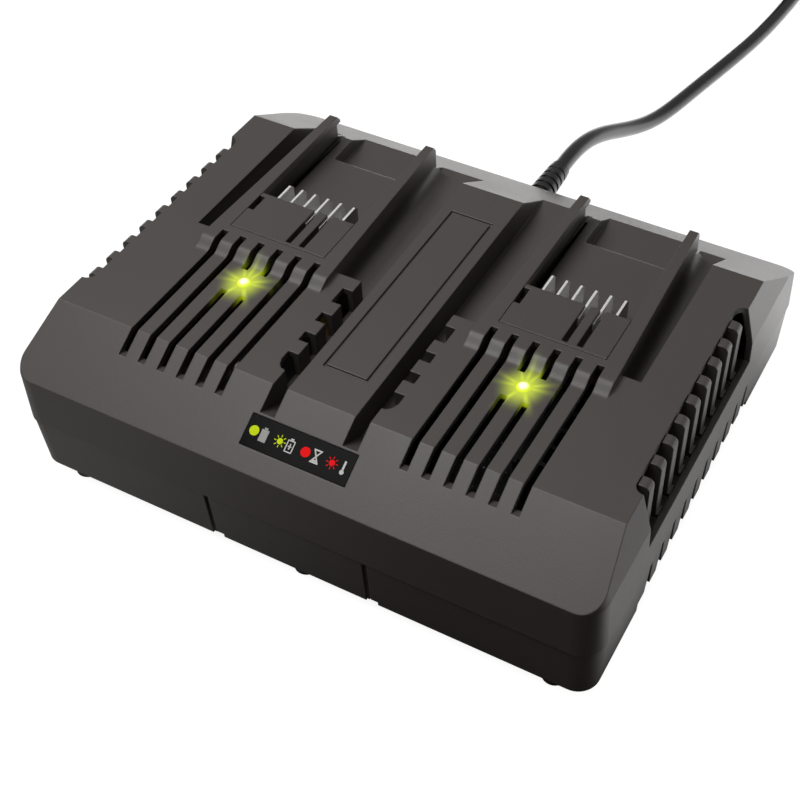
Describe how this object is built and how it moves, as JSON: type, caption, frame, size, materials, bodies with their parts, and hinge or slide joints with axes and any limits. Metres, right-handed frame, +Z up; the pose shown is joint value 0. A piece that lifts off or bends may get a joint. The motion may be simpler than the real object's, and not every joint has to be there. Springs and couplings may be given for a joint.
{
  "type": "battery_charger",
  "caption": "Two-port battery charger for cordless power tools: dark ribbed case, two slide-in docks with contact blades, status window and a coiled mains cord.",
  "frame": {"origin": "On the table under the middle of the case, between its feet", "axes": "X across the case, +Y to the rear where the cord leaves, +Z up"},
  "size_m": [0.245, 0.6065, 0.0745],
  "materials": {
    "case_plastic": "fine textured charcoal",
    "black_plastic": "fine texture",
    "window_film": "glossy film",
    "lens": "clear green",
    "contact_metal": "bright plated",
    "steel": "zinc plated",
    "heat_sink": "extruded",
    "board": "solder mask",
    "core": "ferrite",
    "winding": "tape over copper",
    "rubber": "soft black",
    "cord_rubber": "smooth cord sheath"
  },
  "bodies": {
    "case": {"upper_shell": "case_plastic", "lower_shell": "case_plastic", "side_grille_left": "case_plastic", "side_grille_right": "case_plastic", "contact_block_left": "case_plastic", "contact_block_right": "case_plastic", "contact_blades_left": "contact_metal", "contact_blades_right": "contact_metal", "terminal_board_left": "board", "terminal_board_right": "board", "led_lens_left": "lens", "led_lens_right": "lens", "led_board_left": "board", "led_board_right": "board", "status_window": "window_film", "status_board": "board", "main_board": "board", "transformer_core": "core", "transformer_winding": "winding", "heat_sinks": "heat_sink", "power_transistors": "black_plastic", "capacitors": "black_plastic", "line_choke": "winding", "mains_fuse": "lens", "board_screws": "steel", "fan_frame": "black_plastic", "strain_relief": "rubber", "inner_cord": "cord_rubber", "cord_clamp": "black_plastic", "clamp_screws": "steel", "inlet_terminal": "board", "rubber_feet": "rubber", "case_screws": "steel", "cord_lead": "cord_rubber", "cord_coil": "cord_rubber", "coil_tie": "rubber", "cord_tail": "cord_rubber", "mains_plug": "black_plastic", "plug_pins": "steel"},
    "fan_rotor_body": {"fan_rotor": "black_plastic"}
  },
  "joints": [
    {"name": "fan_spin", "type": "hinge", "parent": "case", "child": "fan_rotor_body", "pos_m": [-0.1023, -0.008, 0.0331], "axis": [1, 0, 0], "continuous": true}
  ]
}
